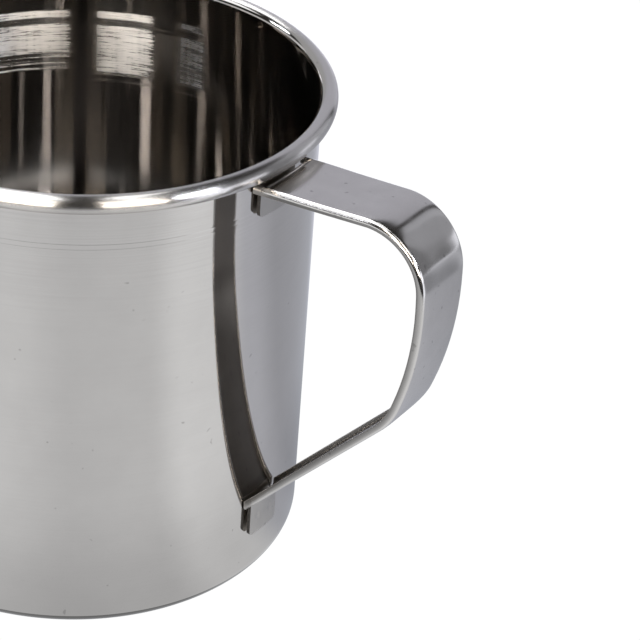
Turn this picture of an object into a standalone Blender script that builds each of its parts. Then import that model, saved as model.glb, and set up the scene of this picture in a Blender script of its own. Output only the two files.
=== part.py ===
"""Steel drinking mug: a drawn cup with a rolled rim, and a pressed strap handle spot-welded to it.

Metres, +Z up. The origin is the centre of the base's underside, +Z is the cup's axis and the
handle lies in the XZ plane on the +X side, so the mug is symmetric about that plane.
"""
import math

import bmesh
import bpy
from mathutils import Vector

# Cup: outside sizes of the drawn body and of the bead rolled outwards at its rim.
BODY_RADIUS = 0.0450
CUP_HEIGHT = 0.0950
CUP_SHEET = 0.0005
BASE_CORNER = 0.0043
BEAD_RADIUS = 0.00173
CURL_END = -120.0             # degrees; where the rolled edge stops, just short of the wall
CUP_SEGMENTS = 64
CURL_STEPS = 15
CORNER_STEPS = 5

# Handle: the outer face's line in the XZ plane is four straights joined by three bends.
ARM_ROOT = Vector((BODY_RADIUS, 0.0, 0.0905))
KNUCKLE = Vector((0.0798, 0.0, 0.09295))
GRIP_TURN = Vector((0.0811, 0.0, 0.0678))
HEEL = Vector((0.07595, 0.0, 0.0519))
FOOT_ROOT = Vector((BODY_RADIUS, 0.0, 0.0181))
BEND_RADII = (0.0121, 0.0660, 0.0170)
BEND_STEP = math.radians(8.0)
MAX_STRAIGHT = 0.010

# Handle section: a shallow channel, narrower towards the foot, open to the inside of the loop.
HALF_WIDTH_TOP = 0.00775
HALF_WIDTH_FOOT = 0.0053
TAPER_POWER = 1.2
STRAP_SHEET = 0.0007
FLANGE_DEPTH = 0.0016
EDGE_ROUND = 0.0009
EDGE_STEPS = 3
WEB_STEPS = 4

# Tabs: the web alone turns down along the wall, and the flanges run on to the wall beside it.
TAB_STANDOFF = 0.0005
WALL_GAP = 0.0003
TAB_RELIEF = 0.00015
TAB_CORNER = 0.0010
TAB_CORNER_STEPS = 4
TAB_FOLD_STEPS = 6
UPPER_TAB_FOLD = 0.0026       # radius of the fold on the face that turns to the wall
LOWER_TAB_FOLD = 0.0010       # radius of the fold on the face that turns away from the wall
UPPER_TAB_END = 0.0838
LOWER_TAB_END = 0.0120

# Welds: round nuggets between each tab and the wall.
NUGGET_RADIUS = 0.0013
NUGGET_GAP = 0.00012
NUGGET_SIDES = 24
UPPER_WELD = (0.0029, 0.0859)   # distance from the middle plane, and height
LOWER_WELD = (0.0020, 0.0159)

STEEL = (0.58, 0.58, 0.59)
WELD_STEEL = (0.42, 0.41, 0.40)


def clear_scene():
    for old in list(bpy.data.objects):
        bpy.data.objects.remove(old, do_unlink=True)


def steel_material(name, colour, roughness):
    material = bpy.data.materials.new(name)
    material.use_nodes = True
    shader = material.node_tree.nodes["Principled BSDF"]
    shader.inputs["Base Color"].default_value = (*colour, 1.0)
    shader.inputs["Metallic"].default_value = 1.0
    shader.inputs["Roughness"].default_value = roughness
    return material


def add_object(name, bm, material, sharp_angle):
    """Close the mesh's bookkeeping, shade it smooth and link it to the scene."""
    bmesh.ops.recalc_face_normals(bm, faces=bm.faces[:])
    mesh = bpy.data.meshes.new(name)
    bm.to_mesh(mesh)
    bm.free()
    mesh.shade_smooth()
    mesh.set_sharp_from_angle(angle=math.radians(sharp_angle))
    mesh.materials.append(material)
    obj = bpy.data.objects.new(name, mesh)
    bpy.context.scene.collection.objects.link(obj)
    return obj


def arc(centre, radius, start, end, steps):
    """Points (r, z) on an arc, with its angles in degrees from +r."""
    points = []
    for index in range(steps + 1):
        angle = math.radians(start + (end - start) * index / steps)
        points.append((centre[0] + radius * math.cos(angle), centre[1] + radius * math.sin(angle)))
    return points


def cup_profile():
    """The sheet's cross-section, from the underside's centre round the bead to the floor's centre."""
    corner = (BODY_RADIUS - BASE_CORNER, BASE_CORNER)
    bead = (BODY_RADIUS - CUP_SHEET + BEAD_RADIUS, CUP_HEIGHT - BEAD_RADIUS)
    profile = [(0.0, 0.0)]
    profile += arc(corner, BASE_CORNER, -90.0, 0.0, CORNER_STEPS)
    profile += arc(bead, BEAD_RADIUS - CUP_SHEET, 180.0, CURL_END, CURL_STEPS)
    profile += arc(bead, BEAD_RADIUS, CURL_END, 180.0, CURL_STEPS)
    profile += arc(corner, BASE_CORNER - CUP_SHEET, 0.0, -90.0, CORNER_STEPS)
    profile.append((0.0, CUP_SHEET))
    return profile


def add_ring(bm, radius, height):
    step = 2.0 * math.pi / CUP_SEGMENTS
    return [bm.verts.new((radius * math.cos(i * step), radius * math.sin(i * step), height))
            for i in range(CUP_SEGMENTS)]


def build_cup(material):
    """Turn the profile about Z: rings joined by quads, with a fan at each end of the profile."""
    bm = bmesh.new()
    profile = cup_profile()
    underside = bm.verts.new((0.0, 0.0, profile[0][1]))
    floor = bm.verts.new((0.0, 0.0, profile[-1][1]))
    rings = [add_ring(bm, radius, height) for radius, height in profile[1:-1]]
    for lower, upper in zip(rings, rings[1:]):
        join_rings(bm, lower, upper)
    for pole, ring in ((underside, rings[0]), (floor, rings[-1])):
        for i in range(CUP_SEGMENTS):
            bm.faces.new((pole, ring[i - 1], ring[i]))
    return add_object("cup_shell", bm, material, 40.0)


def join_rings(bm, first, second):
    for i in range(len(first)):
        bm.faces.new((first[i - 1], first[i], second[i], second[i - 1]))


def bend(before, corner, after, radius):
    """Points and directions round a bend that replaces a corner of the handle's line."""
    into = (corner - before).normalized()
    out = (after - corner).normalized()
    turn = into.angle(out)
    start = corner - into * (radius * math.tan(turn / 2.0))
    inward = (out - into * into.dot(out)).normalized()
    steps = max(2, round(turn / BEND_STEP))
    stations = []
    for index in range(steps + 1):
        angle = turn * index / steps
        point = start + into * (radius * math.sin(angle)) + inward * (radius * (1.0 - math.cos(angle)))
        stations.append((point, into * math.cos(angle) + inward * math.sin(angle)))
    return stations


def handle_stations(start, end):
    """Points and directions along the outer face from start to end, with long straights divided."""
    corners = [start, KNUCKLE, GRIP_TURN, HEEL, end]
    key = [(start, (KNUCKLE - start).normalized())]
    for index, radius in enumerate(BEND_RADII, start=1):
        key += bend(corners[index - 1], corners[index], corners[index + 1], radius)
    key.append((end, (end - HEEL).normalized()))
    stations = [key[0]]
    for (previous, _), (point, direction) in zip(key, key[1:]):
        pieces = max(1, math.ceil((point - previous).length / MAX_STRAIGHT))
        for index in range(1, pieces):
            stations.append((previous.lerp(point, index / pieces), direction))
        stations.append((point, direction))
    return stations


def channel_section(half_width):
    """The strap's section as (across, inwards) points: its outer face, then back along its inside.

    Each face runs from one flange tip round the edge, across the flat web and round to the other
    tip, so the two faces have the same number of points.
    """
    flat = half_width - EDGE_ROUND

    def face(radius, first_side):
        quarter = [math.radians(90.0 * i / EDGE_STEPS) for i in range(EDGE_STEPS + 1)]
        edge = [(flat + radius * math.cos(a), EDGE_ROUND - radius * math.sin(a)) for a in quarter]
        half = [(flat + radius, FLANGE_DEPTH), *edge]
        web = [(flat * (1.0 - 2.0 * i / WEB_STEPS), EDGE_ROUND - radius)
               for i in range(1, WEB_STEPS)]
        points = half + web + [(-across, depth) for across, depth in reversed(half)]
        return [(first_side * across, depth) for across, depth in points]

    return face(EDGE_ROUND, -1) + face(EDGE_ROUND - STRAP_SHEET, 1)


FLANGE_POINTS = EDGE_STEPS + 2                      # from a flange's tip to the web, on one face
FACE_POINTS = 2 * FLANGE_POINTS + WEB_STEPS - 1     # from one flange's tip to the other's
WEB_START = FLANGE_POINTS - 1
WEB_END = FACE_POINTS - FLANGE_POINTS

LEFT_FLANGE_LOOP = [*range(0, WEB_START + 1), *range(FACE_POINTS + WEB_END, 2 * FACE_POINTS)]
RIGHT_FLANGE_LOOP = [*range(WEB_END, FACE_POINTS), *range(FACE_POINTS, FACE_POINTS + WEB_START + 1)]
WEB_LOOP = [*range(WEB_START, WEB_END + 1), *range(FACE_POINTS + WEB_START, FACE_POINTS + WEB_END + 1)]


def inward_of(direction):
    """The direction from the handle's outer face into its loop, for a direction in the XZ plane."""
    return Vector((direction.z, 0.0, -direction.x))


def place_section(section, point, direction):
    inward = inward_of(direction)
    return [point + Vector((0.0, across, 0.0)) + inward * depth for across, depth in section]


def wall_sag(y):
    """How far the cup's wall at y lies behind its line nearest the handle."""
    return BODY_RADIUS - math.sqrt(BODY_RADIUS ** 2 - y * y)


def slide_to_wall(point, direction):
    """Move a point along the handle until it is one gap away from the cup's wall."""
    target = BODY_RADIUS + WALL_GAP - wall_sag(point.y)
    return point + direction * ((target - point.x) / direction.x)


def extend(bm, ring, positions):
    """Sweep a closed ring of vertices to new positions and return the new ring."""
    following = [bm.verts.new(position) for position in positions]
    join_rings(bm, ring, following)
    return following


def add_flange_ends(bm, ring, section, direction):
    for loop in (LEFT_FLANGE_LOOP, RIGHT_FLANGE_LOOP):
        flange = [ring[i] for i in loop]
        end = extend(bm, flange, [slide_to_wall(vertex.co, direction) for vertex in flange])
        bm.faces.new(end)


def add_tab(bm, ring, fold_stations, end_height):
    """Carry the web round its fold, down the wall and to a straight edge with rounded corners.

    Each fold station gives the positions (x, z) of the web's outer and inner faces. The web
    takes up the wall's curve as it goes round the fold.
    """
    web = [ring[i] for i in WEB_LOOP]
    half_width = abs(web[0].co.y) - TAB_RELIEF
    across = [2.0 * i / WEB_STEPS - 1.0 for i in range(WEB_STEPS + 1)]

    def row(outer, inner, reach, wrap):
        def place(face, side):
            y = side * reach
            return Vector((face[0] - wrap * wall_sag(y), y, face[1]))
        return [place(outer, side) for side in across] + [place(inner, -side) for side in across]

    for index, (outer, inner) in enumerate(fold_stations, start=1):
        web = extend(bm, web, row(outer, inner, half_width, index / len(fold_stations)))
    outer_x, inner_x = fold_stations[-1][0][0], fold_stations[-1][1][0]
    for index in range(TAB_CORNER_STEPS + 1):
        angle = math.radians(90.0 * index / TAB_CORNER_STEPS)
        height = end_height + TAB_CORNER * (1.0 - math.sin(angle))
        reach = half_width - TAB_CORNER * (1.0 - math.cos(angle))
        web = extend(bm, web, row((outer_x, height), (inner_x, height), reach, 1.0))
    bm.faces.new(web)


def fold(centre, outer_radius, inner_radius, start, end):
    """The web's two faces round a fold, as (x, z) pairs, leaving out the first station."""
    outer = arc(centre, outer_radius, start, end, TAB_FOLD_STEPS)
    inner = arc(centre, inner_radius, start, end, TAB_FOLD_STEPS)
    return list(zip(outer, inner))[1:]


def point_on_line(origin, direction, x):
    return origin + direction * ((x - origin.x) / direction.x)


def build_handle(material):
    bm = bmesh.new()
    tab_inner = BODY_RADIUS + TAB_STANDOFF
    tab_outer = tab_inner + STRAP_SHEET

    # Upper fold: the outer face turns towards the wall, so the fold's centre lies under the arm.
    arm = (KNUCKLE - ARM_ROOT).normalized()
    arm_slope = math.degrees(math.atan2(arm.z, arm.x))
    fold_x = tab_inner + UPPER_TAB_FOLD
    start = point_on_line(ARM_ROOT, arm, fold_x - UPPER_TAB_FOLD * arm.z)
    upper_centre = (fold_x, start.z - UPPER_TAB_FOLD * arm.x)
    upper_fold = fold(upper_centre, UPPER_TAB_FOLD, UPPER_TAB_FOLD - STRAP_SHEET,
                      90.0 + arm_slope, 180.0)

    # Lower fold: the outer face turns away from the wall, so the fold's centre lies outside it.
    shin = (FOOT_ROOT - HEEL).normalized()
    lower_x = tab_outer + LOWER_TAB_FOLD
    to_face = inward_of(shin)
    end = point_on_line(FOOT_ROOT, shin, lower_x + LOWER_TAB_FOLD * to_face.x)
    lower_centre = (lower_x, end.z - LOWER_TAB_FOLD * to_face.z)
    lower_fold = fold(lower_centre, LOWER_TAB_FOLD, LOWER_TAB_FOLD + STRAP_SHEET,
                      math.degrees(math.atan2(to_face.z, to_face.x)), 180.0)

    stations = handle_stations(start, end)
    lengths = [0.0]
    for (previous, _), (point, _) in zip(stations, stations[1:]):
        lengths.append(lengths[-1] + (point - previous).length)

    rings = []
    for (point, direction), length in zip(stations, lengths):
        taper = (length / lengths[-1]) ** TAPER_POWER
        narrowing = (HALF_WIDTH_TOP - HALF_WIDTH_FOOT) * taper
        section = channel_section(HALF_WIDTH_TOP - narrowing)
        positions = place_section(section, point, direction)
        rings.append(extend(bm, rings[-1], positions) if rings
                     else [bm.verts.new(position) for position in positions])

    add_flange_ends(bm, rings[0], channel_section(HALF_WIDTH_TOP), -arm)
    add_flange_ends(bm, rings[-1], channel_section(HALF_WIDTH_FOOT), shin)
    add_tab(bm, rings[0], upper_fold, UPPER_TAB_END)
    add_tab(bm, rings[-1], lower_fold, LOWER_TAB_END)
    return add_object("handle_strap", bm, material, 50.0)


def build_weld(name, across, height, material):
    """A round nugget whose two faces follow the wall and the tab."""
    bm = bmesh.new()
    wall_x = BODY_RADIUS + NUGGET_GAP
    tab_x = BODY_RADIUS + TAB_STANDOFF - NUGGET_GAP
    wall_ring, tab_ring = [], []
    for index in range(NUGGET_SIDES):
        angle = 2.0 * math.pi * index / NUGGET_SIDES
        y = across + NUGGET_RADIUS * math.cos(angle)
        z = height + NUGGET_RADIUS * math.sin(angle)
        wall_ring.append(bm.verts.new((wall_x - wall_sag(y), y, z)))
        tab_ring.append(bm.verts.new((tab_x - wall_sag(y), y, z)))
    join_rings(bm, wall_ring, tab_ring)
    for x, ring in ((wall_x, wall_ring), (tab_x, tab_ring)):
        middle = bm.verts.new((x - wall_sag(across), across, height))
        for index in range(NUGGET_SIDES):
            bm.faces.new((middle, ring[index - 1], ring[index]))
    return add_object(name, bm, material, 40.0)


def build_welds(material):
    for row, (across, height) in (("upper", UPPER_WELD), ("lower", LOWER_WELD)):
        for side, sign in (("left", -1), ("right", 1)):
            build_weld(f"{row}_weld_{side}", sign * across, height, material)


def main():
    clear_scene()
    build_cup(steel_material("cup_steel", STEEL, 0.22))
    build_handle(steel_material("handle_steel", STEEL, 0.30))
    build_welds(steel_material("weld_steel", WELD_STEEL, 0.55))


main()
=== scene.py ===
"""Looks of the steel mug: polished cup with a rolled rim and a satin strap handle.

Metres, in the CAD frame: +Z is the cup's axis, the base stands on z = 0, the handle is at +X.
"""

import math

import bmesh
import bpy
from mathutils import Matrix, Vector


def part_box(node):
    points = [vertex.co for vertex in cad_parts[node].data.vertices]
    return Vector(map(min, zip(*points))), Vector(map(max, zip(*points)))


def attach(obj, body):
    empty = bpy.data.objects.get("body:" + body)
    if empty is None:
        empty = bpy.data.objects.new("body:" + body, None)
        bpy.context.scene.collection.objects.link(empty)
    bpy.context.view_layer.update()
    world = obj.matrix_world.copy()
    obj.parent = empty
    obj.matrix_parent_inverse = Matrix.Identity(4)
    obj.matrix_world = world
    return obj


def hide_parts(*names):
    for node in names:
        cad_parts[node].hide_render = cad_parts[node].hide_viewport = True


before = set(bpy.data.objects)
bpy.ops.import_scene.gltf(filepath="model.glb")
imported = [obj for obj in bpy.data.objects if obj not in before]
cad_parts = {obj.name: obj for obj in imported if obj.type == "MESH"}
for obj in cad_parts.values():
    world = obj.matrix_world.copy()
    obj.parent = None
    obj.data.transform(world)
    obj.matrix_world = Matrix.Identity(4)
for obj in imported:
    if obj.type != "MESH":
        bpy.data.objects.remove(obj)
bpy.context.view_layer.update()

# Cup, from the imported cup_shell: its box gives the height and the bead's outer radius.
_, CUP_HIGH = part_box("cup_shell")
CUP_HEIGHT = CUP_HIGH.z
CUP_SHEET = 0.0005
BEAD_RADIUS = 0.00173
BODY_RADIUS = CUP_HIGH.x - 2.0 * BEAD_RADIUS + CUP_SHEET
BASE_CORNER = 0.0043
CURL_END = -120.0              # where the bead's curl stops, in degrees from straight out
CUP_SEGMENTS = 288
CURL_STEPS = 60
CORNER_STEPS = 24
WALL_STEPS = 48
FLOOR_STEPS = 8
SUPPORT = 0.0003               # how close a ring stands beside a bend, so that flats shade flat
RING_LINES = (0.0846, 0.0836)  # heights of the two faint lines pressed in below the bead
RING_LINE_DEPTH = 0.000007
RING_LINE_HALF = 0.00016

# Handle, as in the CAD: the outer face's line is four straights joined by three bends.
ARM_ROOT = Vector((BODY_RADIUS, 0.0, 0.0905))
KNUCKLE = Vector((0.0798, 0.0, 0.09295))
GRIP_TURN = Vector((0.0811, 0.0, 0.0678))
HEEL = Vector((0.07595, 0.0, 0.0519))
FOOT_ROOT = Vector((BODY_RADIUS, 0.0, 0.0181))
BEND_RADII = (0.0121, 0.0660, 0.0170)
BEND_STEP = math.radians(2.0)
MAX_STRAIGHT = 0.0012

HALF_WIDTH_TOP = 0.00775
HALF_WIDTH_FOOT = 0.0053
TAPER_POWER = 1.2
STRAP_SHEET = 0.0007
FLANGE_DEPTH = 0.0016
EDGE_ROUND = 0.0009
EDGE_STEPS = 12
TIP_ROUND = 0.00014
TIP_STEPS = 3
WEB_STEPS = 48
CROWN_SLOPE = math.radians(6.0)       # the web's slope where it meets its rounded edges
CROWN_POWER = 5
CROWN_FADE = 0.012                    # the web is level at both ends and crowned this far in

TAB_STANDOFF = 0.0005
WALL_GAP = 0.0003
TAB_RELIEF = 0.00015
TAB_CORNER = 0.0010
TAB_CORNER_STEPS = 8
TAB_ROW = 0.00025
TAB_FOLD_STEPS = 16
UPPER_TAB_FOLD = 0.0026
LOWER_TAB_FOLD = 0.0010
UPPER_TAB_END = 0.0838
LOWER_TAB_END = 0.0120
UPPER_WELD = (0.0029, 0.0859)         # how far off the middle a pair of welds is, and its height
LOWER_WELD = (0.0020, 0.0159)
DIMPLE_RADIUS = 0.0009
DIMPLE_DEPTH = 0.00010

# Camera: where it stands round the cup, how it is turned, and its lens.
HANDLE_TURN = math.radians(37.8)      # from the camera's right hand to the handle, towards it
CAMERA_DISTANCE = 0.51679
CAMERA_ELEVATION = math.radians(36.0359)
CAMERA_YAW = math.radians(6.5414)
CAMERA_PITCH = math.radians(31.937)
CAMERA_ROLL = math.radians(4.3126)
CAMERA_LENS = 140.754
CAMERA_SENSOR = 36.0


# ---------------------------------------------------------------- mesh helpers

def add_object(name, bm, material, sharp_angle):
    """A smooth-shaded object of this mesh, with edges over the angle, in degrees, kept sharp."""
    bmesh.ops.recalc_face_normals(bm, faces=bm.faces[:])
    mesh = bpy.data.meshes.new(name)
    bm.to_mesh(mesh)
    bm.free()
    mesh.shade_smooth()
    mesh.set_sharp_from_angle(angle=math.radians(sharp_angle))
    mesh.materials.append(material)
    obj = bpy.data.objects.new(name, mesh)
    bpy.context.scene.collection.objects.link(obj)
    return obj


def smooth(share):
    """0 to 1 as the share goes from 0 to 1, level at both ends."""
    return share * share * (3.0 - 2.0 * share)


def hollow(near):
    """1 at a hollow's centre, falling smoothly to 0 at its edge, where near is 1, and beyond."""
    return 0.5 + 0.5 * math.cos(math.pi * min(near, 1.0))


def join_rings(bm, first, second):
    """Quads between two closed rings of as many vertices."""
    return [bm.faces.new((first[i - 1], first[i], second[i], second[i - 1]))
            for i in range(len(first))]


def extend(bm, ring, positions):
    """Sweep a closed ring of vertices to new positions and return the new ring."""
    following = [bm.verts.new(position) for position in positions]
    join_rings(bm, ring, following)
    return following


def arc(centre, radius, start, end, steps):
    """Points (a, b) on an arc, between two angles in degrees from the first axis."""
    points = []
    for index in range(steps + 1):
        angle = math.radians(start + (end - start) * index / steps)
        points.append((centre[0] + radius * math.cos(angle), centre[1] + radius * math.sin(angle)))
    return points


def line(start, end, steps):
    """Points between two ends, both left out, with a support point close to each end."""
    (a, b), (c, d) = start, end
    length = math.hypot(c - a, d - b)
    near = SUPPORT / length
    shares = [near] + [near + (1.0 - 2.0 * near) * i / steps for i in range(1, steps)] + [1.0 - near]
    return [(a + (c - a) * s, b + (d - b) * s) for s in shares]


# ---------------------------------------------------------------- cup

def wall_face(radius, low, high, steps):
    """A wall's face from low to high, with the faint ring lines pressed into it."""
    heights = [z for _, z in line((radius, low), (radius, high), steps)]
    for centre in RING_LINES:
        heights += [centre + RING_LINE_HALF * k / 4.0 for k in range(-4, 5)]

    def groove(z):
        return RING_LINE_DEPTH * hollow(min(abs(z - centre) for centre in RING_LINES) / RING_LINE_HALF)

    return [(radius - groove(z), z) for z in sorted(heights)]


def cup_profile():
    """The sheet's cross-section, from the underside's centre round the bead to the floor's centre."""
    corner = (BODY_RADIUS - BASE_CORNER, BASE_CORNER)
    bead = (BODY_RADIUS - CUP_SHEET + BEAD_RADIUS, CUP_HEIGHT - BEAD_RADIUS)
    inner = BODY_RADIUS - CUP_SHEET
    outside = arc(corner, BASE_CORNER, -90.0, 0.0, CORNER_STEPS)
    curl_inside = arc(bead, BEAD_RADIUS - CUP_SHEET, 180.0, CURL_END, CURL_STEPS)
    curl_outside = arc(bead, BEAD_RADIUS, CURL_END, 180.0, CURL_STEPS)
    inside = arc(corner, BASE_CORNER - CUP_SHEET, 0.0, -90.0, CORNER_STEPS)
    profile = [(0.0, 0.0)]
    profile += line((0.0, 0.0), outside[0], FLOOR_STEPS) + outside
    profile += wall_face(BODY_RADIUS, BASE_CORNER, bead[1], WALL_STEPS)
    profile += curl_inside + curl_outside
    profile += wall_face(inner, BASE_CORNER, bead[1], WALL_STEPS)[::-1]
    profile += inside + line(inside[-1], (0.0, CUP_SHEET), FLOOR_STEPS)
    profile.append((0.0, CUP_SHEET))
    return profile


def build_cup(material):
    """The profile turned round the cup's axis, closed by a pole under the floor and one on it."""
    bm = bmesh.new()
    profile = cup_profile()
    step = 2.0 * math.pi / CUP_SEGMENTS
    rings = [[bm.verts.new((r * math.cos(i * step), r * math.sin(i * step), z))
              for i in range(CUP_SEGMENTS)] for r, z in profile[1:-1]]
    for lower, upper in zip(rings, rings[1:]):
        join_rings(bm, lower, upper)
    for (_, height), ring in ((profile[0], rings[0]), (profile[-1], rings[-1])):
        pole = bm.verts.new((0.0, 0.0, height))
        for i in range(CUP_SEGMENTS):
            bm.faces.new((pole, ring[i - 1], ring[i]))
    return add_object("polished_cup", bm, material, sharp_angle=40.0)


# ---------------------------------------------------------------- handle

def bend(before, corner, after, radius):
    """Points and directions round a bend that replaces a corner of the handle's line."""
    into = (corner - before).normalized()
    out = (after - corner).normalized()
    turn = into.angle(out)
    start = corner - into * (radius * math.tan(turn / 2.0))
    inward = (out - into * into.dot(out)).normalized()
    steps = max(2, round(turn / BEND_STEP))
    stations = []
    for index in range(steps + 1):
        angle = turn * index / steps
        point = start + into * (radius * math.sin(angle)) + inward * (radius * (1.0 - math.cos(angle)))
        stations.append((point, into * math.cos(angle) + inward * math.sin(angle)))
    return stations


def handle_stations(start, end):
    """Points and directions along the outer face from start to end, with long straights divided."""
    corners = [start, KNUCKLE, GRIP_TURN, HEEL, end]
    key = [(start, (KNUCKLE - start).normalized())]
    for index, radius in enumerate(BEND_RADII, start=1):
        key += bend(corners[index - 1], corners[index], corners[index + 1], radius)
    key.append((end, (end - HEEL).normalized()))
    stations = [key[0]]
    for (previous, _), (point, direction) in zip(key, key[1:]):
        pieces = max(1, math.ceil((point - previous).length / MAX_STRAIGHT))
        for index in range(1, pieces):
            stations.append((previous.lerp(point, index / pieces), direction))
        stations.append((point, direction))
    return stations


def channel_section(half_width, slope):
    """The strap's section as (across, inwards) points in one loop, in four runs.

    The outer face from flange tip to flange tip, the right tip, the inner face back, the left tip.
    The web is crowned: level in the middle, and falling by the slope where its round edges start.
    """
    centre = half_width - EDGE_ROUND
    crown = math.tan(slope) * (centre + EDGE_ROUND * math.sin(slope)) / CROWN_POWER
    edge_depth = crown + EDGE_ROUND * math.cos(slope)

    def face(radius, first_side):
        """One face of the sheet, from the flange on the first side to the other."""
        edge = [(centre + a, edge_depth - b)
                for a, b in arc((0.0, 0.0), radius, 0.0, 90.0 - math.degrees(slope), EDGE_STEPS)]
        half = [(centre + radius, FLANGE_DEPTH - TIP_ROUND), *edge]
        end, end_depth = edge[-1]
        middle_depth = EDGE_ROUND - radius
        shares = [1.0 - 2.0 * i / WEB_STEPS for i in range(1, WEB_STEPS)]
        web = [(end * share, middle_depth + (end_depth - middle_depth) * abs(share) ** CROWN_POWER)
               for share in shares]
        points = half + web + [(-across, depth) for across, depth in reversed(half)]
        return [(first_side * across, depth) for across, depth in points]

    depth = FLANGE_DEPTH - TIP_ROUND
    inside = EDGE_ROUND - STRAP_SHEET
    tip = (arc((half_width - TIP_ROUND, depth), TIP_ROUND, 0.0, 90.0, TIP_STEPS)[1:]
           + arc((centre + inside + TIP_ROUND, depth), TIP_ROUND, 90.0, 180.0, TIP_STEPS)[:-1])
    left_tip = [(-across, depth) for across, depth in reversed(tip)]
    return face(EDGE_ROUND, -1) + tip + face(inside, 1) + left_tip


# Where the runs of the section's loop start and end, counted in points.
FLANGE_POINTS = EDGE_STEPS + 2
FACE_POINTS = 2 * FLANGE_POINTS + WEB_STEPS - 1
TIP_POINTS = 2 * TIP_STEPS
INNER_START = FACE_POINTS + TIP_POINTS
LOOP_POINTS = 2 * INNER_START
WEB_START = FLANGE_POINTS - 1
WEB_END = FACE_POINTS - FLANGE_POINTS
LEFT_FLANGE_LOOP = [*range(0, WEB_START + 1), *range(INNER_START + WEB_END, LOOP_POINTS)]
RIGHT_FLANGE_LOOP = [*range(WEB_END, INNER_START + WEB_START + 1)]
WEB_LOOP = [*range(WEB_START, WEB_END + 1), *range(INNER_START + WEB_START, INNER_START + WEB_END + 1)]

SHEARED = 1                           # material index of the tabs' sheared edges
FLANGE_SHADE_START = 0.6              # how much of the painted shade at the flange's tip lies just beside it, as a share
FLANGE_SHADE_STEP = 0.12              # and how much less at each point round its edge


def inward_of(direction):
    """The direction from the handle's outer face into its loop, for a direction in the XZ plane."""
    return Vector((direction.z, 0.0, -direction.x))


def place_section(section, point, direction):
    """A section's points in space, across the strap's line at a point."""
    inward = inward_of(direction)
    return [point + Vector((0.0, across, 0.0)) + inward * depth for across, depth in section]


def wall_sag(y):
    """How far the cup's wall at y lies behind its line nearest the handle."""
    return BODY_RADIUS - math.sqrt(BODY_RADIUS ** 2 - y * y)


def slide_to_wall(point, direction):
    """The point carried along the direction until it stands a gap off the wall."""
    target = BODY_RADIUS + WALL_GAP - wall_sag(point.y)
    return point + direction * ((target - point.x) / direction.x)


def flange_share(index):
    """How much of the flange's painted shade a point of the outer face takes, counted from its tip."""
    if index == 0:
        return 1.0
    return max(0.0, FLANGE_SHADE_START - FLANGE_SHADE_STEP * (index - 1))


def add_flange_ends(bm, ring, direction):
    """Carry each flange straight on until it all but meets the wall."""
    for loop in (LEFT_FLANGE_LOOP, RIGHT_FLANGE_LOOP):
        flange = [ring[i] for i in loop]
        end = extend(bm, flange, [slide_to_wall(vertex.co, direction) for vertex in flange])
        bm.faces.new(end)


def dimple(y, z, welds):
    """How far a weld's electrode pressed the tab's outer face in at (y, z)."""
    across, height = welds
    return DIMPLE_DEPTH * hollow(math.hypot(abs(y) - across, z - height) / DIMPLE_RADIUS)


def add_tab(bm, ring, fold_stations, end_height, welds):
    """Carry the web round its fold, down the wall and to a straight edge with rounded corners."""
    web = [ring[i] for i in WEB_LOOP]
    half_width = abs(web[0].co.y) - TAB_RELIEF
    across = [2.0 * i / WEB_STEPS - 1.0 for i in range(WEB_STEPS + 1)]

    def row(outer, inner, reach, wrap):
        """The sheet's two faces across the tab, curved with the wall by the share wrap."""
        def place(face, side, pressed):
            y = side * reach
            depth = wrap * wall_sag(y) + pressed * dimple(y, face[1], welds)
            return Vector((face[0] - depth, y, face[1]))
        return ([place(outer, side, 1.0) for side in across]
                + [place(inner, -side, 0.0) for side in across])

    def carry_on(positions):
        """Sweep the web on, with the sheet's sheared sides in their own material."""
        following = [bm.verts.new(position) for position in positions]
        faces = join_rings(bm, web, following)
        for side in (0, WEB_STEPS + 1):
            faces[side].material_index = SHEARED
        return following

    for index, (outer, inner) in enumerate(fold_stations, start=1):
        web = carry_on(row(outer, inner, half_width, index / len(fold_stations)))
    (outer_x, top), (inner_x, _) = fold_stations[-1]
    rows = math.ceil((top - end_height - TAB_CORNER) / TAB_ROW)
    for index in range(1, rows):
        height = top + (end_height + TAB_CORNER - top) * index / rows
        web = carry_on(row((outer_x, height), (inner_x, height), half_width, 1.0))
    for index in range(TAB_CORNER_STEPS + 1):
        angle = math.radians(90.0 * index / TAB_CORNER_STEPS)
        height = end_height + TAB_CORNER * (1.0 - math.sin(angle))
        reach = half_width - TAB_CORNER * (1.0 - math.cos(angle))
        web = carry_on(row((outer_x, height), (inner_x, height), reach, 1.0))
    bm.faces.new(web).material_index = SHEARED


def fold(centre, outer_radius, inner_radius, start, end):
    """The web's two faces round a fold, as (x, z) pairs, leaving out the first station."""
    outer = arc(centre, outer_radius, start, end, TAB_FOLD_STEPS)
    inner = arc(centre, inner_radius, start, end, TAB_FOLD_STEPS)
    return list(zip(outer, inner))[1:]


def point_on_line(origin, direction, x):
    """The point of a line that has this x."""
    return origin + direction * ((x - origin.x) / direction.x)


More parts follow.
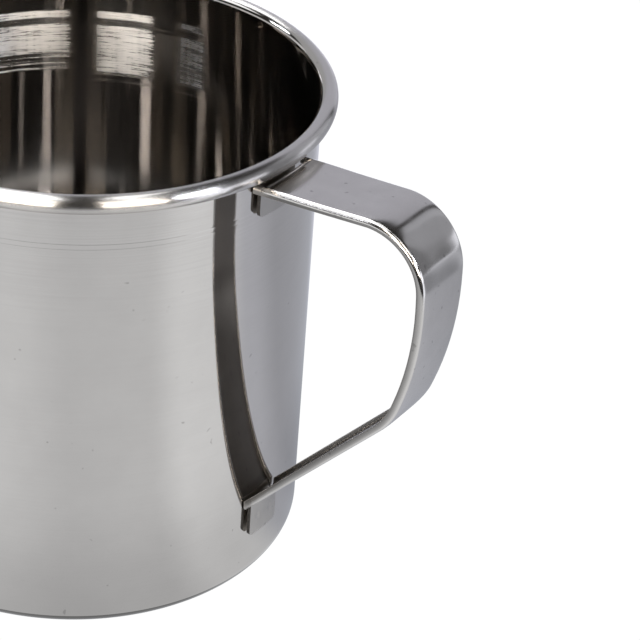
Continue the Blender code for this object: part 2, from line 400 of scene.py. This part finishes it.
def build_handle(material, sheared_material):
    """The strap. Its points carry "inside" and "flange" shares, which its finish reads: both set
    painted shade, and "inside" a duller gloss too.
    """
    bm = bmesh.new()
    inside = bm.verts.layers.float.new("inside")
    flange = bm.verts.layers.float.new("flange")
    tab_inner = BODY_RADIUS + TAB_STANDOFF
    tab_outer = tab_inner + STRAP_SHEET

    # Upper fold: the outer face turns towards the wall, so the fold's centre lies under the arm.
    arm = (KNUCKLE - ARM_ROOT).normalized()
    arm_slope = math.degrees(math.atan2(arm.z, arm.x))
    fold_x = tab_inner + UPPER_TAB_FOLD
    start = point_on_line(ARM_ROOT, arm, fold_x - UPPER_TAB_FOLD * arm.z)
    upper_centre = (fold_x, start.z - UPPER_TAB_FOLD * arm.x)
    upper_fold = fold(upper_centre, UPPER_TAB_FOLD, UPPER_TAB_FOLD - STRAP_SHEET,
                      90.0 + arm_slope, 180.0)

    # Lower fold: the outer face turns away from the wall, so the fold's centre lies outside it.
    shin = (FOOT_ROOT - HEEL).normalized()
    lower_x = tab_outer + LOWER_TAB_FOLD
    to_face = inward_of(shin)
    end = point_on_line(FOOT_ROOT, shin, lower_x + LOWER_TAB_FOLD * to_face.x)
    lower_centre = (lower_x, end.z - LOWER_TAB_FOLD * to_face.z)
    lower_fold = fold(lower_centre, LOWER_TAB_FOLD, LOWER_TAB_FOLD + STRAP_SHEET,
                      math.degrees(math.atan2(to_face.z, to_face.x)), 180.0)

    stations = handle_stations(start, end)
    lengths = [0.0]
    for (previous, _), (point, _) in zip(stations, stations[1:]):
        lengths.append(lengths[-1] + (point - previous).length)

    rings = []
    for (point, direction), length in zip(stations, lengths):
        taper = (length / lengths[-1]) ** TAPER_POWER
        fade = min(1.0, min(length, lengths[-1] - length) / CROWN_FADE)
        slope = CROWN_SLOPE * smooth(fade)
        half_width = HALF_WIDTH_TOP - (HALF_WIDTH_TOP - HALF_WIDTH_FOOT) * taper
        positions = place_section(channel_section(half_width, slope), point, direction)
        rings.append(extend(bm, rings[-1], positions) if rings
                     else [bm.verts.new(position) for position in positions])
        for vertex in rings[-1][INNER_START:INNER_START + FACE_POINTS]:
            vertex[inside] = 1.0
        # Painted shade at the flange tips, full at each tip and fading round the edge.
        for index in range(FLANGE_POINTS):
            for vertex in (rings[-1][index], rings[-1][FACE_POINTS - 1 - index]):
                vertex[flange] = flange_share(index)

    add_flange_ends(bm, rings[0], -arm)
    add_flange_ends(bm, rings[-1], shin)
    add_tab(bm, rings[0], upper_fold, UPPER_TAB_END, UPPER_WELD)
    add_tab(bm, rings[-1], lower_fold, LOWER_TAB_END, LOWER_WELD)
    handle = add_object("strap_handle", bm, material, sharp_angle=50.0)
    handle.data.materials.append(sheared_material)
    return handle


# ---------------------------------------------------------------- materials

STEEL = (0.635, 0.61, 0.58)
WELD_STEEL = (0.30, 0.27, 0.24)
# The tabs' cut edges: dull, and painted near black as the shadow in the gap beside the wall.
SHEARED_STEEL_AND_SHADOW = (0.09, 0.085, 0.08)

# How much of the steel's colour is left where the real mug gets less light than the studio gives.
INSIDE_SHADE = 0.80                   # inside the cup
CORNER_SHADE = 0.40                   # the corner between floor and wall, inside and out
CHANNEL_SHADE = 0.38                  # the strap's inner side
FLANGE_SHADE = 0.35                   # the tips of the strap's turned-in edges
TAB_SHADE = 0.72                      # the tabs on the wall

# Roughness, and the depth of the fine relief.
POLISHED_ROUGHNESS = 0.065
BEAD_ROUGHNESS = 0.16                 # what the bead's turned lines add
BRUSHED_ROUGHNESS = 0.42              # what the brushed patches add
DULL_ROUGHNESS = 0.22                 # what the strap's inner side and the tabs add
POLISH_DEPTH = 0.0000001
BEAD_LINE_DEPTH = 0.000010
BRUSH_DEPTH = 0.00003
GRAIN_DEPTH = 0.0000006

# Where the polishing wheel left marks inside: degrees round the cup from the handle, the height
# that they reach down to, and how strong they are.
BRUSHED_PATCHES = (
    (131.0, 158.0, 0.0765, 0.90),
    (109.0, 124.0, 0.0735, 1.00),
    (94.0, 102.0, 0.0735, 0.62),
)
BRUSHED_TOP = (0.0865, 0.0872)        # heights between which the marks fade out below the bead
PRESSED_BAND = (0.0838, 0.0853)       # heights of the pressed lines, which the wheel missed
PRESSED_SHARE = 0.25                  # and how much of the marks is left there
BRUSHED_PAINTED_LIGHT = 1.8                    # painted light: how much the marks lighten the inside's painted shade, up past the plain steel
BRUSHED_EDGE = 1.5                    # how soft a patch's sides are, in degrees
BRUSHED_STRAY = 4.0                   # how widely the marks' ends scatter at a side, in degrees
BRUSHED_FOOT = 0.0018                 # how soft a patch's lower edge is
# Noise is drawn out into lines by counting only this share of the distance along them.
LINE_STRETCH = 0.008                  # turned lines, round the cup
DASH_STRETCH = 0.04                   # the wheel's shorter dashes, round the cup
UPRIGHT_STRETCH = 0.04                # uneven brushing, up the wall


class NodeTree:
    """A material's nodes, with one short call for each kind used here."""

    def __init__(self, material):
        material.use_nodes = True
        self.tree = material.node_tree
        self.shader = self.tree.nodes["Principled BSDF"]

    def add(self, kind, **settings):
        node = self.tree.nodes.new(kind)
        for name, value in settings.items():
            setattr(node, name, value)
        return node

    def link(self, value, socket):
        """Feed a socket from another one, or set it to a plain value."""
        if isinstance(value, bpy.types.NodeSocket):
            self.tree.links.new(value, socket)
        else:
            socket.default_value = value

    def math(self, operation, *values):
        node = self.add("ShaderNodeMath", operation=operation)
        for value, socket in zip(values, node.inputs):
            self.link(value, socket)
        return node.outputs[0]

    def product(self, *values):
        """All the values multiplied together."""
        result = values[0]
        for value in values[1:]:
            result = self.math("MULTIPLY", result, value)
        return result

    def stir(self, value, noise, amount):
        """The value, moved up or down by a noise, by up to half the amount."""
        return self.math("MULTIPLY_ADD", self.math("SUBTRACT", noise, 0.5), amount, value)

    def vector(self, x, y, z):
        """A vector of three sockets or plain values."""
        node = self.add("ShaderNodeCombineXYZ")
        for value, socket in zip((x, y, z), node.inputs):
            self.link(value, socket)
        return node.outputs[0]

    def noise(self, vector, scale, detail=2.0, roughness=0.5):
        node = self.add("ShaderNodeTexNoise")
        self.link(vector, node.inputs["Vector"])
        node.inputs["Scale"].default_value = scale
        node.inputs["Detail"].default_value = detail
        node.inputs["Roughness"].default_value = roughness
        return node.outputs["Fac"]

    def remap(self, value, low, high, to_low, to_high, smooth=False):
        """The value carried from one range to another, and held at the second range's ends."""
        node = self.add("ShaderNodeMapRange")
        node.interpolation_type = "SMOOTHSTEP" if smooth else "LINEAR"
        self.link(value, node.inputs["Value"])
        names = ("From Min", "From Max", "To Min", "To Max")
        for name, number in zip(names, (low, high, to_low, to_high)):
            node.inputs[name].default_value = number
        return node.outputs[0]

    def dimmed(self, mask, share):
        """1 where the mask is 0, falling to the share where the mask is 1."""
        return self.remap(mask, 0.0, 1.0, 1.0, share)

    def window(self, value, low, high, soft):
        """1 between two values and 0 outside them, changing over soft either side of each."""
        rise = self.remap(value, low - soft, low + soft, 0.0, 1.0, smooth=True)
        fall = self.remap(value, high - soft, high + soft, 1.0, 0.0, smooth=True)
        return self.product(rise, fall)

    def place(self):
        """The point's x, y and z in metres, and its distance from the cup's axis."""
        coordinates = self.add("ShaderNodeTexCoord").outputs["Object"]
        split = self.add("ShaderNodeSeparateXYZ")
        self.link(coordinates, split.inputs[0])
        x, y, z = split.outputs
        squares = self.math("ADD", self.product(x, x), self.product(y, y))
        return coordinates, x, y, z, self.math("SQRT", squares)

    def tint(self, colour, shade):
        """Make the base colour this colour times a shade."""
        node = self.add("ShaderNodeMix", data_type="RGBA", blend_type="MULTIPLY")
        node.inputs["Factor"].default_value = 1.0
        node.inputs["A"].default_value = (*colour, 1.0)
        self.link(shade, node.inputs["B"])
        self.tree.links.new(node.outputs["Result"], self.shader.inputs["Base Color"])

    def bump(self, height, depth):
        node = self.add("ShaderNodeBump")
        node.inputs["Strength"].default_value = 1.0
        node.inputs["Distance"].default_value = depth
        self.link(height, node.inputs["Height"])
        self.tree.links.new(node.outputs[0], self.shader.inputs["Normal"])


def brush_marks(nodes, x, y, z, coarse):
    """The polishing wheel's marks: 0 where there are none, up to about 1 where they are full."""
    dash_place = nodes.vector(nodes.product(x, DASH_STRETCH), nodes.product(y, DASH_STRETCH), z)
    dashes = nodes.noise(dash_place, 3800.0, 3.0, 0.75)
    degrees = nodes.product(nodes.math("ARCTAN2", y, x), 180.0 / math.pi)
    degrees = nodes.stir(degrees, dashes, BRUSHED_STRAY)
    ragged = nodes.stir(z, coarse, 0.014)
    patches = 0.0
    for start, end, low, amount in BRUSHED_PATCHES:
        across = nodes.window(degrees, start, end, BRUSHED_EDGE)
        down = nodes.remap(ragged, low - BRUSHED_FOOT, low + BRUSHED_FOOT, 0.0, amount, smooth=True)
        patches = nodes.math("ADD", patches, nodes.product(across, down))
    below_bead = nodes.remap(z, *BRUSHED_TOP, 1.0, 0.0, smooth=True)
    missed = nodes.dimmed(nodes.window(z, *PRESSED_BAND, 0.0003), PRESSED_SHARE)
    streaks = nodes.remap(dashes, 0.30, 0.62, 0.36, 1.0, smooth=True)
    upright_place = nodes.vector(x, y, nodes.product(z, UPRIGHT_STRETCH))
    uneven = nodes.remap(nodes.noise(upright_place, 1400.0, 2.0), 0.30, 0.70, 0.84, 1.06)
    return nodes.product(below_bead, missed, patches, streaks, uneven)


def cup_finish():
    """Polished sheet, with a satin bead, and patches of brush marks inside below it."""
    material = bpy.data.materials.new("polished_steel")
    nodes = NodeTree(material)
    shader = nodes.shader
    shader.inputs["Metallic"].default_value = 1.0
    coordinates, x, y, z, radius = nodes.place()
    turned = nodes.vector(nodes.product(x, LINE_STRETCH), nodes.product(y, LINE_STRETCH),
                          nodes.math("ADD", z, radius))
    fine = nodes.noise(turned, 3600.0, 3.0)
    coarse = nodes.noise(turned, 900.0, 2.0)

    # Places on the cup, each near 1 there and 0 elsewhere.
    inside = nodes.remap(radius, BODY_RADIUS - 0.6 * CUP_SHEET, BODY_RADIUS - 0.4 * CUP_SHEET, 1.0, 0.0)
    brushed = nodes.product(inside, brush_marks(nodes, x, y, z, coarse))
    corner = nodes.product(nodes.window(z, 0.0008, BASE_CORNER - 0.0005, 0.0003),
                           nodes.math("LESS_THAN", radius, BODY_RADIUS - 0.5 * CUP_SHEET))
    bead_foot = CUP_HEIGHT - 2.0 * BEAD_RADIUS
    bead = nodes.product(
        nodes.remap(z, bead_foot - 0.0004, bead_foot, 0.0, 1.0),
        nodes.remap(radius, BODY_RADIUS - 0.0002, BODY_RADIUS + 0.0008, 0.0, 1.0, smooth=True))

    # Colour: cloudy, with fine lines that are stronger near the bead, painted shade inside the cup and
    # in the corner, painted light on the brush marks, and a few dark specks.
    mottle = nodes.noise(coordinates, 160.0, 3.0)
    cloud = nodes.noise(coordinates, 45.0, 2.0)
    shade = nodes.remap(nodes.math("ADD", mottle, cloud), 0.6, 1.4, 0.965, 1.035)
    shade = nodes.stir(shade, fine, nodes.remap(z, 0.065, 0.090, 0.04, 0.14))
    dim = nodes.product(inside, nodes.math("MULTIPLY_ADD", brushed, -1.0 - BRUSHED_PAINTED_LIGHT, 1.0))
    inside_shade = nodes.math("MULTIPLY_ADD", dim, INSIDE_SHADE - 1.0, 1.0)
    shade = nodes.product(shade, inside_shade, nodes.dimmed(corner, CORNER_SHADE))
    specks = nodes.remap(nodes.noise(coordinates, 620.0, 1.0), 0.76, 0.82, 0.0, 0.25)
    nodes.tint(STEEL, nodes.math("SUBTRACT", shade, specks))

    # Gloss: drawn out up and down, across the lines that run round the cup.
    rough = nodes.math("MULTIPLY_ADD", brushed, BRUSHED_ROUGHNESS, POLISHED_ROUGHNESS)
    rough = nodes.math("MULTIPLY_ADD", bead, BEAD_ROUGHNESS, rough)
    nodes.link(rough, shader.inputs["Roughness"])
    shader.inputs["Anisotropic"].default_value = 1.0
    shader.inputs["Anisotropic Rotation"].default_value = 0.25
    tangent = nodes.add("ShaderNodeTangent", direction_type="RADIAL", axis="Z")
    nodes.link(tangent.outputs[0], shader.inputs["Tangent"])
    depth = nodes.math("MULTIPLY_ADD", brushed, BRUSH_DEPTH, POLISH_DEPTH)
    depth = nodes.math("MULTIPLY_ADD", bead, BEAD_LINE_DEPTH, depth)
    nodes.bump(nodes.product(fine, depth), 1.0)
    return material


def handle_finish():
    """Satin strap, with painted shade inside the channel, on the tabs and at the flange tips, and
    duller inside the channel and on the tabs.
    """
    material = bpy.data.materials.new("satin_steel")
    nodes = NodeTree(material)
    shader = nodes.shader
    shader.inputs["Metallic"].default_value = 1.0
    coordinates, _, _, _, radius = nodes.place()
    inside = nodes.add("ShaderNodeAttribute", attribute_name="inside").outputs["Fac"]
    flange = nodes.add("ShaderNodeAttribute", attribute_name="flange").outputs["Fac"]
    tabs = nodes.remap(radius, BODY_RADIUS + 0.0014, BODY_RADIUS + 0.0024, 1.0, 0.0, smooth=True)
    mottle = nodes.noise(coordinates, 220.0, 4.0)
    specks = nodes.remap(nodes.noise(coordinates, 700.0, 1.0), 0.70, 0.78, 0.0, 0.3)
    shade = nodes.math("SUBTRACT", nodes.remap(mottle, 0.3, 0.7, 0.96, 1.04), specks)
    # Painted shade: darker on the tabs, at the flange tips and in the channel, where the wall and the
    # strap keep light off.
    shade = nodes.product(shade, nodes.dimmed(tabs, TAB_SHADE), nodes.dimmed(flange, FLANGE_SHADE),
                          nodes.dimmed(inside, CHANNEL_SHADE))
    nodes.tint(STEEL, shade)
    satin = nodes.remap(mottle, 0.3, 0.7, 0.12, 0.18)
    dull = nodes.math("MAXIMUM", inside, tabs)
    nodes.link(nodes.math("MULTIPLY_ADD", dull, DULL_ROUGHNESS, satin), shader.inputs["Roughness"])
    grain = nodes.product(nodes.noise(coordinates, 900.0, 3.0), nodes.math("SUBTRACT", 1.0, inside))
    nodes.bump(grain, GRAIN_DEPTH)
    return material


def sheared_edge_and_shadow_finish():
    """Dull edge where the tabs were cut, painted dark as the shadow in the gap beside the wall."""
    material = bpy.data.materials.new("sheared_steel_and_shadow")
    nodes = NodeTree(material)
    nodes.shader.inputs["Metallic"].default_value = 1.0
    coordinates = nodes.place()[0]
    grain = nodes.noise(coordinates, 2500.0, 3.0)
    nodes.tint(SHEARED_STEEL_AND_SHADOW, nodes.remap(grain, 0.3, 0.7, 0.7, 1.3))
    nodes.link(nodes.remap(grain, 0.3, 0.7, 0.45, 0.60), nodes.shader.inputs["Roughness"])
    return material


def weld_finish():
    """Dull, brownish steel, as it is round a spot weld."""
    material = bpy.data.materials.new("weld_steel_finish")
    nodes = NodeTree(material)
    nodes.shader.inputs["Metallic"].default_value = 1.0
    coordinates = nodes.place()[0]
    mottle = nodes.noise(coordinates, 1500.0, 3.0)
    nodes.tint(WELD_STEEL, nodes.remap(mottle, 0.3, 0.7, 0.8, 1.15))
    nodes.link(nodes.remap(mottle, 0.3, 0.7, 0.45, 0.65), nodes.shader.inputs["Roughness"])
    return material


# ---------------------------------------------------------------- studio

AWAY = HANDLE_TURN + math.pi / 2.0    # the photograph's viewing direction, as an angle from +X
UP = Vector((0.0, 0.0, 1.0))
PANEL_DISTANCE = 1.2
PANEL_SPACING = 0.004                 # each stands this much farther out, so that none coincide
PANEL_STEPS = 32
ROOM = (0.030, 0.028, 0.026)          # what the steel sees where there is no panel
WHITE = 1.02                          # what the camera sees of floor and background
BOUNCES = 24                          # light goes to and fro many times inside the cup

COOL = (0.98, 1.0, 1.14)
RIGHT = (0.965, 1.0, 1.115)
NEUTRAL = (0.977, 1.0, 1.04)
WARM = (1.07, 1.0, 0.92)
# Panels round the table: bearings from straight away (to the camera's right) and elevations in
# degrees, then radiance, tint and how wide their soft edge is, in degrees.
WALL_PANELS = {
    "key_left": (-171, -141, 5, 22, 9.0, WARM, 2),
    "key_left_upper": (-171, -138, 33, 56, 3.4, WARM, 2),
    "key_right": (143, 171, 5, 22, 8.5, WARM, 2),
    "key_right_upper": (141, 171, 33, 56, 3.4, WARM, 2),
    "slot_right": (119, 139, 25, 33, 22.0, RIGHT, 1),
    "strip_right": (96, 140, -1, 14, 1.6, RIGHT, 3),
    "strip_right_upper": (108, 140, 33, 48, 0.8, RIGHT, 3),
    "side_right": (77, 110, -2, 45, 0.19, RIGHT, 3),
    "corner_right": (57.5, 80, -2, 46, 0.38, RIGHT, 3),
    "corner_light": (46.5, 60.5, -2, 46, 0.50, RIGHT, 3),
    "back_near": (14, 43.5, -2, 47, 0.51, COOL, 3),
    "back": (-14, 17, -2, 47, 0.51, COOL, 3),
    "back_left": (-52, -11, -2, 50, 0.42, NEUTRAL, 4),
    "slot_left": (-72, -57, 28, 33, 22.0, RIGHT, 1),
    "slot_far": (-120, -110, 28, 32, 9.0, RIGHT, 1),
    "low_right": (61, 79, -1, 17, 0.80, RIGHT, 6),
    "side_left_low": (-120, -48, -2, 20, 0.8, NEUTRAL, 4),
    "side_left": (-116, -72, 36, 62, 1.6, NEUTRAL, 4),
    "top_left": (-155, -118, 56, 78, 2.2, NEUTRAL, 4),
    "top_right": (120, 150, 56, 78, 1.8, NEUTRAL, 4),
}
# Panels overhead, on a level plane: reach to the right and away, as shares of their height.
CEILING_PANELS = {
    "overhead_left": (-0.55, -0.05, -0.32, 0.95, 3.6, NEUTRAL, 0.03),
    "overhead_right": (0.065, 0.225, -0.12, 0.55, 2.6, NEUTRAL, 0.03),
}
# Light that the table, and the ground beyond its edge, send up to the steel: stops with a bearing
# in degrees, a strength and a tint.
TABLE_LIGHT = (
    (-180, 0.70, NEUTRAL), (-150, 0.82, NEUTRAL), (-128, 0.34, NEUTRAL), (-24, 0.34, NEUTRAL),
    (8, 0.50, COOL), (30, 0.64, COOL), (48, 0.47, RIGHT), (82, 0.43, RIGHT), (102, 0.57, RIGHT),
    (122, 0.88, NEUTRAL), (136, 0.90, NEUTRAL), (152, 0.73, NEUTRAL), (180, 0.70, NEUTRAL),
)
GROUND_LIGHT = (
    (-180, 0.02, NEUTRAL), (-144, 0.02, NEUTRAL), (-132, 1.60, NEUTRAL), (-108, 1.60, NEUTRAL),
    (-90, 0.60, NEUTRAL), (-30, 0.30, NEUTRAL), (0, 1.50, COOL), (14, 1.50, COOL), (30, 0.50, COOL),
    (50, 0.35, RIGHT), (70, 0.40, RIGHT), (79, 0.60, RIGHT), (87, 0.30, RIGHT),
    (94, 0.30, RIGHT), (106, 1.00, RIGHT), (120, 1.50, RIGHT), (129, 1.50, RIGHT),
    (137, 0.02, NEUTRAL), (180, 0.02, NEUTRAL),
)
FLOOR_RADIUS = 4.0
TABLE_EDGE = (0.21, 0.26)             # distances between which the table gives way to the ground
TABLE_CENTRE = 0.79                   # how much of its light the table sends up beside the base
BASE_SHADOW = (0.05, 0.09)            # distances between which that share rises to all of it


def toward(bearing):
    """The level direction at a bearing in degrees, clockwise from straight away seen from above."""
    angle = AWAY - math.radians(bearing)
    return Vector((math.cos(angle), math.sin(angle), 0.0))


def add_panel(name, corner, radiance, tint, edge_u, edge_v):
    """A glowing panel with soft edges, which adds its light to that of whatever is behind it.

    corner(u, v) gives its points for shares from 0 to 1.
    """
    mesh = bpy.data.meshes.new(name)
    count = PANEL_STEPS + 1
    shares = [(i / PANEL_STEPS, j / PANEL_STEPS) for j in range(count) for i in range(count)]
    faces = [(j * count + i, j * count + i + 1, (j + 1) * count + i + 1, (j + 1) * count + i)
             for j in range(PANEL_STEPS) for i in range(PANEL_STEPS)]
    mesh.from_pydata([corner(u, v) for u, v in shares], [], faces)

    def rise(share, edge):
        return smooth(min(1.0, min(share, 1.0 - share) / edge))

    glow = mesh.attributes.new("glow", "FLOAT", "POINT")
    glow.data.foreach_set("value", [rise(u, edge_u) * rise(v, edge_v) for u, v in shares])
    material = bpy.data.materials.new(name)
    material.use_nodes = True
    tree = material.node_tree
    tree.nodes.clear()
    attribute = tree.nodes.new("ShaderNodeAttribute")
    attribute.attribute_name = "glow"
    strength = tree.nodes.new("ShaderNodeMath")
    strength.operation = "MULTIPLY"
    strength.inputs[1].default_value = radiance
    emission = tree.nodes.new("ShaderNodeEmission")
    emission.inputs["Color"].default_value = (*tint, 1.0)
    through = tree.nodes.new("ShaderNodeBsdfTransparent")
    both = tree.nodes.new("ShaderNodeAddShader")
    output = tree.nodes.new("ShaderNodeOutputMaterial")
    tree.links.new(attribute.outputs["Fac"], strength.inputs[0])
    tree.links.new(strength.outputs[0], emission.inputs["Strength"])
    tree.links.new(emission.outputs[0], both.inputs[0])
    tree.links.new(through.outputs[0], both.inputs[1])
    tree.links.new(both.outputs[0], output.inputs["Surface"])
    mesh.materials.append(material)
    panel = bpy.data.objects.new(name, mesh)
    bpy.context.scene.collection.objects.link(panel)
    panel.visible_camera = False


def add_panels():
    """All the panels. Wall panels stand upright round the table, and ceiling panels lie level."""
    for index, (name, panel) in enumerate(WALL_PANELS.items()):
        left, right, low, high, radiance, tint, edge = panel
        distance = PANEL_DISTANCE + PANEL_SPACING * index

        def corner(u, v):
            rise = math.tan(math.radians(low + (high - low) * v))
            return (toward(left + (right - left) * u) + UP * rise) * distance

        add_panel(name, corner, radiance, tint, edge / (right - left), edge / (high - low))
    for name, (left, right, near, far, radiance, tint, edge) in CEILING_PANELS.items():

        def corner(u, v):
            across = toward(90.0) * (left + (right - left) * u)
            away = toward(0.0) * (near + (far - near) * v)
            return (across + away + UP) * PANEL_DISTANCE

        add_panel(name, corner, radiance, tint, edge / (right - left), edge / (far - near))


def light_by_bearing(nodes, share, stops_wanted):
    """A colour ramp round the horizon, with a stop at each bearing."""
    ramp = nodes.add("ShaderNodeValToRGB")
    nodes.link(share, ramp.inputs[0])
    ramp.color_ramp.interpolation = "EASE"
    stops = ramp.color_ramp.elements
    for index, (degrees, light, tint) in enumerate(stops_wanted):
        position = (degrees + 180.0) / 360.0
        stop = stops[index] if index < 2 else stops.new(position)
        stop.position = position
        stop.color = (*(light * channel for channel in tint), 1.0)
    return ramp.outputs["Color"]


def add_floor():
    """A white table for the camera.

    The steel sees it dimmer, with a light that changes by bearing and again beyond its edge.
    """
    bm = bmesh.new()
    bmesh.ops.create_circle(bm, cap_ends=True, segments=96, radius=FLOOR_RADIUS)
    mesh = bpy.data.meshes.new("floor")
    bm.to_mesh(mesh)
    bm.free()
    floor = bpy.data.objects.new("floor", mesh)
    bpy.context.scene.collection.objects.link(floor)
    material = bpy.data.materials.new("white_floor")
    nodes = NodeTree(material)
    tree = nodes.tree
    _, x, y, _, radius = nodes.place()
    turned = nodes.math("SUBTRACT", AWAY, nodes.math("ARCTAN2", y, x))
    bearing = nodes.math("WRAP", turned, math.pi, -math.pi)
    share = nodes.remap(bearing, -math.pi, math.pi, 0.0, 1.0)
    join = nodes.add("ShaderNodeMix", data_type="RGBA")
    nodes.link(nodes.remap(radius, *TABLE_EDGE, 0.0, 1.0, smooth=True), join.inputs["Factor"])
    nodes.link(light_by_bearing(nodes, share, TABLE_LIGHT), join.inputs["A"])
    nodes.link(light_by_bearing(nodes, share, GROUND_LIGHT), join.inputs["B"])
    seen = nodes.add("ShaderNodeEmission")
    seen.inputs["Strength"].default_value = WHITE
    reflected = nodes.add("ShaderNodeEmission")
    nodes.link(join.outputs["Result"], reflected.inputs["Color"])
    nodes.link(nodes.remap(radius, *BASE_SHADOW, TABLE_CENTRE, 1.0, smooth=True),
               reflected.inputs["Strength"])
    choose = nodes.add("ShaderNodeMixShader")
    path = nodes.add("ShaderNodeLightPath")
    nodes.link(path.outputs["Is Camera Ray"], choose.inputs[0])
    tree.links.new(reflected.outputs[0], choose.inputs[1])
    tree.links.new(seen.outputs[0], choose.inputs[2])
    tree.links.new(choose.outputs[0], tree.nodes["Material Output"].inputs["Surface"])
    tree.nodes.remove(nodes.shader)
    mesh.materials.append(material)


def add_camera():
    """The camera where the photograph was taken from, with its aim, its roll and its lens."""
    data = bpy.data.cameras.new("camera")
    data.lens = CAMERA_LENS
    data.sensor_width = CAMERA_SENSOR
    camera = bpy.data.objects.new("camera", data)
    bpy.context.scene.collection.objects.link(camera)
    back = Vector((0.0, -math.cos(CAMERA_ELEVATION), math.sin(CAMERA_ELEVATION))) * CAMERA_DISTANCE
    camera.matrix_world = (
        Matrix.Rotation(HANDLE_TURN, 4, "Z") @ Matrix.Translation(back)
        @ Matrix.Rotation(-CAMERA_YAW, 4, "Z")
        @ Matrix.Rotation(math.pi / 2.0 - CAMERA_PITCH, 4, "X")
        @ Matrix.Rotation(CAMERA_ROLL, 4, "Z")
    )
    bpy.context.scene.camera = camera


def add_world():
    """A dim room for the steel to reflect, and plain white behind everything for the camera."""
    world = bpy.data.worlds.new("studio")
    bpy.context.scene.world = world
    world.use_nodes = True
    tree = world.node_tree
    room = tree.nodes["Background"]
    room.inputs["Color"].default_value = (*ROOM, 1.0)
    white = tree.nodes.new("ShaderNodeBackground")
    white.inputs["Color"].default_value = (WHITE, WHITE, WHITE, 1.0)
    choose = tree.nodes.new("ShaderNodeMixShader")
    path = tree.nodes.new("ShaderNodeLightPath")
    tree.links.new(path.outputs["Is Camera Ray"], choose.inputs[0])
    tree.links.new(room.outputs[0], choose.inputs[1])
    tree.links.new(white.outputs[0], choose.inputs[2])
    tree.links.new(choose.outputs[0], tree.nodes["World Output"].inputs["Surface"])


def main():
    """Cup and strap in place of their CAD nodes, the CAD welds in a better finish, and the studio."""
    cup = build_cup(cup_finish())
    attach(cup, "root")
    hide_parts("cup_shell")
    handle = build_handle(handle_finish(), sheared_edge_and_shadow_finish())
    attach(handle, "root")
    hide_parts("handle_strap")
    weld = weld_finish()
    for name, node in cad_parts.items():
        if name.endswith(("_left", "_right")):
            node.data.materials.clear()
            node.data.materials.append(weld)
    add_floor()
    add_panels()
    add_world()
    add_camera()
    scene = bpy.context.scene
    scene.view_settings.view_transform = "Standard"
    scene.cycles.max_bounces = BOUNCES
    scene.cycles.glossy_bounces = BOUNCES


main()
